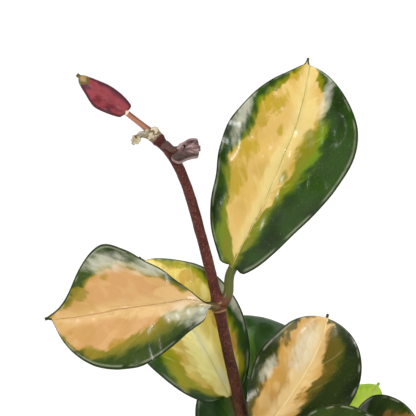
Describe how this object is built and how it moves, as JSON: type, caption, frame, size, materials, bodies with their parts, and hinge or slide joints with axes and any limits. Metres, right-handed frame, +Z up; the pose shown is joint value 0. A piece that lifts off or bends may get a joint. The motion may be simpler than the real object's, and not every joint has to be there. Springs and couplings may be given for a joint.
{
  "type": "potted hoya plant",
  "caption": "Potted hoya house plant: a tall leaning stem and shorter arching stems with thick, glossy, cream-centred leaves in opposite pairs, rooted in soil in a plain round clay pot.",
  "frame": {"origin": "centre of the pot's flat base, on the surface that it stands on", "axes": "+Z up; the picture looks along +Y, so -Y is the front and +X the picture's right; the main stem leans to -X as it rises"},
  "size_m": [0.2473, 0.2173, 0.2913],
  "materials": {
    "terracotta": "matte",
    "potting_mix": "matte",
    "stem": "satin",
    "leaf_cream": "gloss",
    "leaf_green": "gloss",
    "leaf_plain_green": "gloss",
    "leaf_lime": "gloss",
    "leaf_red": "satin",
    "dried_cream": "matte",
    "dried_mauve": "matte"
  },
  "bodies": {
    "root": {"pot": "terracotta", "soil": "potting_mix", "stem_main": "stem", "stem_right": "stem", "stem_back_right": "stem", "stem_front_left": "stem", "stem_front": "stem", "stem_back": "stem", "stem_back_left": "stem", "leaf_upright": "leaf_cream", "leaf_left": "leaf_cream", "leaf_behind_stem": "leaf_cream", "leaf_right": "leaf_cream", "leaf_front": "leaf_green", "leaf_low_left": "leaf_plain_green", "leaf_far_right": "leaf_green", "leaf_young_lime": "leaf_lime", "leaf_plain_back": "leaf_plain_green", "leaf_young_red": "leaf_red", "dried_leaf_mauve": "dried_mauve", "dried_leaf_cream": "dried_cream", "leaf_right_1": "leaf_cream", "leaf_right_2": "leaf_green", "leaf_right_3": "leaf_cream", "leaf_right_4": "leaf_cream", "leaf_right_5": "leaf_green", "leaf_back_right_1": "leaf_cream", "leaf_back_right_2": "leaf_green", "leaf_back_right_3": "leaf_lime", "leaf_front_left_1": "leaf_cream", "leaf_front_left_2": "leaf_green", "leaf_front_left_3": "leaf_cream", "leaf_front_left_4": "leaf_cream", "leaf_front_left_5": "leaf_green", "leaf_front_left_6": "leaf_cream", "leaf_front_1": "leaf_green", "leaf_front_2": "leaf_cream", "leaf_front_3": "leaf_cream", "leaf_front_4": "leaf_green", "leaf_back_1": "leaf_green", "leaf_back_2": "leaf_cream", "leaf_back_left_1": "leaf_cream", "leaf_back_left_2": "leaf_green", "leaf_back_left_3": "leaf_cream", "leaf_back_left_4": "leaf_green"}
  },
  "joints": []
}
